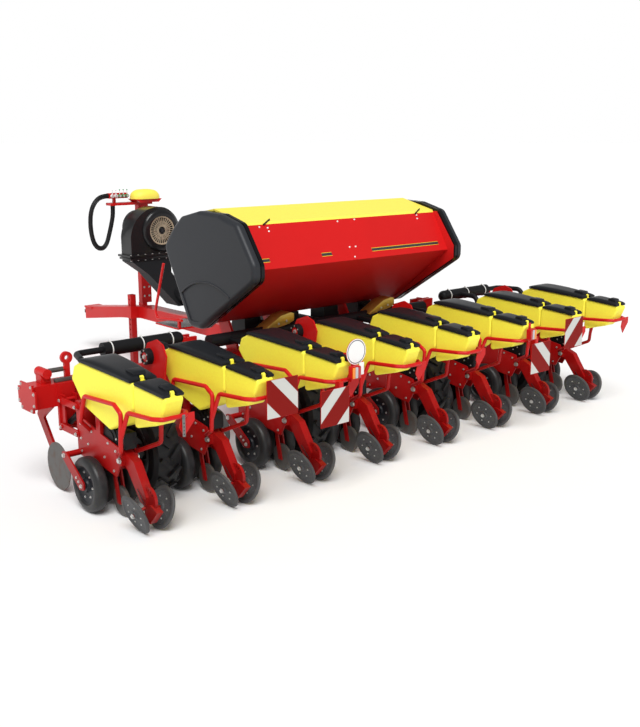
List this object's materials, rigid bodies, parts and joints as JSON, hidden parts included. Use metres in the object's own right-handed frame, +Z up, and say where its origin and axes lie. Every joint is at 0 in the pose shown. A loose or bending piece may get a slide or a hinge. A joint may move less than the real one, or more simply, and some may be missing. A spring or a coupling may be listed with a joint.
{
  "type": "pneumatic seeder",
  "caption": "Trailed pneumatic precision seeder with folding wings, row units with seed tanks and press wheels, a fertiliser hopper, fan and parking stand.",
  "frame": {"origin": "on the ground under the centre of the bounding box", "axes": "+Y is the direction of travel, +X the right-hand side, +Z up"},
  "size_m": [5.8, 6.311, 2.104],
  "materials": {
    "frame_red": "gloss red paint",
    "hopper_red": "gloss red paint",
    "tank_yellow": "moulded plastic",
    "hopper_yellow": "moulded plastic",
    "lid_charcoal": "satin plastic",
    "cap_grey": "satin plastic",
    "duct_black": "satin plastic and rubber",
    "disc_steel": "bare steel",
    "wheel_rubber": "worn rubber",
    "press_wheel": "rubber rim on a steel web",
    "tyre_black": "lugged tyre on a painted rim",
    "zinc_steel": "zinc plated",
    "fan_black": "black paint",
    "rotor_grey": "cast",
    "hose_rubber": "rubber hose"
  },
  "bodies": {
    "chassis": {"centre_frame": "frame_red", "drawbar": "frame_red", "fan_tower": "frame_red", "control_cover": "tank_yellow", "hose_bundle": "hose_rubber", "fan_housing": "fan_black", "air_duct": "duct_black", "fertiliser_hopper": "hopper_red", "hopper_caps": "cap_grey", "row_frames_centre": "frame_red", "seed_tanks_centre": "tank_yellow", "metering_centre": "duct_black", "coulter_discs_centre": "disc_steel"},
    "left_wing": {"wing_frame_left": "frame_red", "row_frames_left": "frame_red", "seed_tanks_left": "tank_yellow", "metering_left": "duct_black", "coulter_discs_left": "disc_steel"},
    "right_wing": {"wing_frame_right": "frame_red", "row_frames_right": "frame_red", "seed_tanks_right": "tank_yellow", "metering_right": "duct_black", "coulter_discs_right": "disc_steel"},
    "seed_lids_left_body": {"seed_lids_left": "lid_charcoal"},
    "granule_lids_left_body": {"granule_lids_left": "lid_charcoal"},
    "seed_lids_centre_body": {"seed_lids_centre": "lid_charcoal"},
    "granule_lids_centre_body": {"granule_lids_centre": "lid_charcoal"},
    "seed_lids_right_body": {"seed_lids_right": "lid_charcoal"},
    "granule_lids_right_body": {"granule_lids_right": "lid_charcoal"},
    "gauge_wheels_1_body": {"gauge_wheels_1": "wheel_rubber"},
    "press_wheel_1_left_body": {"press_wheel_1_left": "press_wheel"},
    "press_wheel_1_right_body": {"press_wheel_1_right": "press_wheel"},
    "gauge_wheels_2_body": {"gauge_wheels_2": "wheel_rubber"},
    "press_wheel_2_left_body": {"press_wheel_2_left": "press_wheel"},
    "press_wheel_2_right_body": {"press_wheel_2_right": "press_wheel"},
    "gauge_wheels_3_body": {"gauge_wheels_3": "wheel_rubber"},
    "press_wheel_3_left_body": {"press_wheel_3_left": "press_wheel"},
    "press_wheel_3_right_body": {"press_wheel_3_right": "press_wheel"},
    "gauge_wheels_4_body": {"gauge_wheels_4": "wheel_rubber"},
    "press_wheel_4_left_body": {"press_wheel_4_left": "press_wheel"},
    "press_wheel_4_right_body": {"press_wheel_4_right": "press_wheel"},
    "gauge_wheels_5_body": {"gauge_wheels_5": "wheel_rubber"},
    "press_wheel_5_left_body": {"press_wheel_5_left": "press_wheel"},
    "press_wheel_5_right_body": {"press_wheel_5_right": "press_wheel"},
    "gauge_wheels_6_body": {"gauge_wheels_6": "wheel_rubber"},
    "press_wheel_6_left_body": {"press_wheel_6_left": "press_wheel"},
    "press_wheel_6_right_body": {"press_wheel_6_right": "press_wheel"},
    "gauge_wheels_7_body": {"gauge_wheels_7": "wheel_rubber"},
    "press_wheel_7_left_body": {"press_wheel_7_left": "press_wheel"},
    "press_wheel_7_right_body": {"press_wheel_7_right": "press_wheel"},
    "gauge_wheels_8_body": {"gauge_wheels_8": "wheel_rubber"},
    "press_wheel_8_left_body": {"press_wheel_8_left": "press_wheel"},
    "press_wheel_8_right_body": {"press_wheel_8_right": "press_wheel"},
    "carrying_wheel_1_body": {"carrying_wheel_1": "tyre_black"},
    "carrying_wheel_2_body": {"carrying_wheel_2": "tyre_black"},
    "carrying_wheel_3_body": {"carrying_wheel_3": "tyre_black"},
    "carrying_wheel_4_body": {"carrying_wheel_4": "tyre_black"},
    "parking_stand_body": {"parking_stand": "frame_red"},
    "fertiliser_lid_body": {"fertiliser_lid": "hopper_yellow"},
    "fan_rotor_body": {"fan_rotor": "rotor_grey"}
  },
  "joints": [
    {"name": "wing_fold_left", "type": "hinge", "parent": "chassis", "child": "left_wing", "pos_m": [-1.5, -1.4195, 1], "axis": [0, 1, 0], "range_deg": [0, 90]},
    {"name": "wing_fold_right", "type": "hinge", "parent": "chassis", "child": "right_wing", "pos_m": [1.5, -1.4195, 1], "axis": [0, -1, 0], "range_deg": [0, 90]},
    {"name": "seed_lids_left_open", "type": "hinge", "parent": "left_wing", "child": "seed_lids_left_body", "pos_m": [-2.25, -2.0515, 1.14], "axis": [1, 0, 0], "range_deg": [-60, 0]},
    {"name": "granule_lids_left_open", "type": "hinge", "parent": "left_wing", "child": "granule_lids_left_body", "pos_m": [-2.25, -2.7405, 1.09257], "axis": [1, 0, 0], "range_deg": [-70, 0]},
    {"name": "seed_lids_centre_open", "type": "hinge", "parent": "chassis", "child": "seed_lids_centre_body", "pos_m": [0, -2.0515, 1.14], "axis": [1, 0, 0], "range_deg": [-60, 0]},
    {"name": "granule_lids_centre_open", "type": "hinge", "parent": "chassis", "child": "granule_lids_centre_body", "pos_m": [0, -2.7405, 1.09257], "axis": [1, 0, 0], "range_deg": [-70, 0]},
    {"name": "seed_lids_right_open", "type": "hinge", "parent": "right_wing", "child": "seed_lids_right_body", "pos_m": [2.25, -2.0515, 1.14], "axis": [1, 0, 0], "range_deg": [-60, 0]},
    {"name": "granule_lids_right_open", "type": "hinge", "parent": "right_wing", "child": "granule_lids_right_body", "pos_m": [2.25, -2.7405, 1.09257], "axis": [1, 0, 0], "range_deg": [-70, 0]},
    {"name": "fertiliser_lid_open", "type": "hinge", "parent": "chassis", "child": "fertiliser_lid_body", "pos_m": [0, -1.0745, 1.991], "axis": [1, 0, 0], "range_deg": [-85, 0]},
    {"name": "fan_spin", "type": "hinge", "parent": "chassis", "child": "fan_rotor_body", "pos_m": [0, 1.4805, 1.66], "axis": [0, 1, 0], "continuous": true},
    {"name": "stand_slide", "type": "slide", "parent": "chassis", "child": "parking_stand_body", "axis": [0, 0, 1], "range_m": [0, 0.35]},
    {"name": "carrying_wheel_1_roll", "type": "hinge", "parent": "left_wing", "child": "carrying_wheel_1_body", "pos_m": [-2.25, -2.0395, 0.38], "axis": [1, 0, 0], "continuous": true},
    {"name": "carrying_wheel_2_roll", "type": "hinge", "parent": "chassis", "child": "carrying_wheel_2_body", "pos_m": [-0.75, -2.0395, 0.38], "axis": [1, 0, 0], "continuous": true},
    {"name": "carrying_wheel_3_roll", "type": "hinge", "parent": "chassis", "child": "carrying_wheel_3_body", "pos_m": [0.75, -2.0395, 0.38], "axis": [1, 0, 0], "continuous": true},
    {"name": "carrying_wheel_4_roll", "type": "hinge", "parent": "right_wing", "child": "carrying_wheel_4_body", "pos_m": [2.25, -2.0395, 0.38], "axis": [1, 0, 0], "continuous": true},
    {"name": "gauge_wheels_1_roll", "type": "hinge", "parent": "left_wing", "child": "gauge_wheels_1_body", "pos_m": [-2.625, -2.0895, 0.21], "axis": [1, 0, 0], "continuous": true},
    {"name": "press_wheel_1_left_roll", "type": "hinge", "parent": "left_wing", "child": "press_wheel_1_left_body", "pos_m": [-2.73001, -2.6895, 0.1501], "axis": [0.9397, 0, 0.342], "continuous": true},
    {"name": "press_wheel_1_right_roll", "type": "hinge", "parent": "left_wing", "child": "press_wheel_1_right_body", "pos_m": [-2.51999, -2.6895, 0.1501], "axis": [0.9397, 0, -0.342], "continuous": true},
    {"name": "gauge_wheels_2_roll", "type": "hinge", "parent": "left_wing", "child": "gauge_wheels_2_body", "pos_m": [-1.875, -2.0895, 0.21], "axis": [1, 0, 0], "continuous": true},
    {"name": "press_wheel_2_left_roll", "type": "hinge", "parent": "left_wing", "child": "press_wheel_2_left_body", "pos_m": [-1.98001, -2.6895, 0.1501], "axis": [0.9397, 0, 0.342], "continuous": true},
    {"name": "press_wheel_2_right_roll", "type": "hinge", "parent": "left_wing", "child": "press_wheel_2_right_body", "pos_m": [-1.76999, -2.6895, 0.1501], "axis": [0.9397, 0, -0.342], "continuous": true},
    {"name": "gauge_wheels_3_roll", "type": "hinge", "parent": "chassis", "child": "gauge_wheels_3_body", "pos_m": [-1.125, -2.0895, 0.21], "axis": [1, 0, 0], "continuous": true},
    {"name": "press_wheel_3_left_roll", "type": "hinge", "parent": "chassis", "child": "press_wheel_3_left_body", "pos_m": [-1.23001, -2.6895, 0.1501], "axis": [0.9397, 0, 0.342], "continuous": true},
    {"name": "press_wheel_3_right_roll", "type": "hinge", "parent": "chassis", "child": "press_wheel_3_right_body", "pos_m": [-1.01999, -2.6895, 0.1501], "axis": [0.9397, 0, -0.342], "continuous": true},
    {"name": "gauge_wheels_4_roll", "type": "hinge", "parent": "chassis", "child": "gauge_wheels_4_body", "pos_m": [-0.375, -2.0895, 0.21], "axis": [1, 0, 0], "continuous": true},
    {"name": "press_wheel_4_left_roll", "type": "hinge", "parent": "chassis", "child": "press_wheel_4_left_body", "pos_m": [-0.48001, -2.6895, 0.1501], "axis": [0.9397, 0, 0.342], "continuous": true},
    {"name": "press_wheel_4_right_roll", "type": "hinge", "parent": "chassis", "child": "press_wheel_4_right_body", "pos_m": [-0.26999, -2.6895, 0.1501], "axis": [0.9397, 0, -0.342], "continuous": true},
    {"name": "gauge_wheels_5_roll", "type": "hinge", "parent": "chassis", "child": "gauge_wheels_5_body", "pos_m": [0.375, -2.0895, 0.21], "axis": [1, 0, 0], "continuous": true},
    {"name": "press_wheel_5_left_roll", "type": "hinge", "parent": "chassis", "child": "press_wheel_5_left_body", "pos_m": [0.26999, -2.6895, 0.1501], "axis": [0.9397, 0, 0.342], "continuous": true},
    {"name": "press_wheel_5_right_roll", "type": "hinge", "parent": "chassis", "child": "press_wheel_5_right_body", "pos_m": [0.48001, -2.6895, 0.1501], "axis": [0.9397, 0, -0.342], "continuous": true},
    {"name": "gauge_wheels_6_roll", "type": "hinge", "parent": "chassis", "child": "gauge_wheels_6_body", "pos_m": [1.125, -2.0895, 0.21], "axis": [1, 0, 0], "continuous": true},
    {"name": "press_wheel_6_left_roll", "type": "hinge", "parent": "chassis", "child": "press_wheel_6_left_body", "pos_m": [1.01999, -2.6895, 0.1501], "axis": [0.9397, 0, 0.342], "continuous": true},
    {"name": "press_wheel_6_right_roll", "type": "hinge", "parent": "chassis", "child": "press_wheel_6_right_body", "pos_m": [1.23001, -2.6895, 0.1501], "axis": [0.9397, 0, -0.342], "continuous": true},
    {"name": "gauge_wheels_7_roll", "type": "hinge", "parent": "right_wing", "child": "gauge_wheels_7_body", "pos_m": [1.875, -2.0895, 0.21], "axis": [1, 0, 0], "continuous": true},
    {"name": "press_wheel_7_left_roll", "type": "hinge", "parent": "right_wing", "child": "press_wheel_7_left_body", "pos_m": [1.76999, -2.6895, 0.1501], "axis": [0.9397, 0, 0.342], "continuous": true},
    {"name": "press_wheel_7_right_roll", "type": "hinge", "parent": "right_wing", "child": "press_wheel_7_right_body", "pos_m": [1.98001, -2.6895, 0.1501], "axis": [0.9397, 0, -0.342], "continuous": true},
    {"name": "gauge_wheels_8_roll", "type": "hinge", "parent": "right_wing", "child": "gauge_wheels_8_body", "pos_m": [2.625, -2.0895, 0.21], "axis": [1, 0, 0], "continuous": true},
    {"name": "press_wheel_8_left_roll", "type": "hinge", "parent": "right_wing", "child": "press_wheel_8_left_body", "pos_m": [2.51999, -2.6895, 0.1501], "axis": [0.9397, 0, 0.342], "continuous": true},
    {"name": "press_wheel_8_right_roll", "type": "hinge", "parent": "right_wing", "child": "press_wheel_8_right_body", "pos_m": [2.73001, -2.6895, 0.1501], "axis": [0.9397, 0, -0.342], "continuous": true}
  ]
}
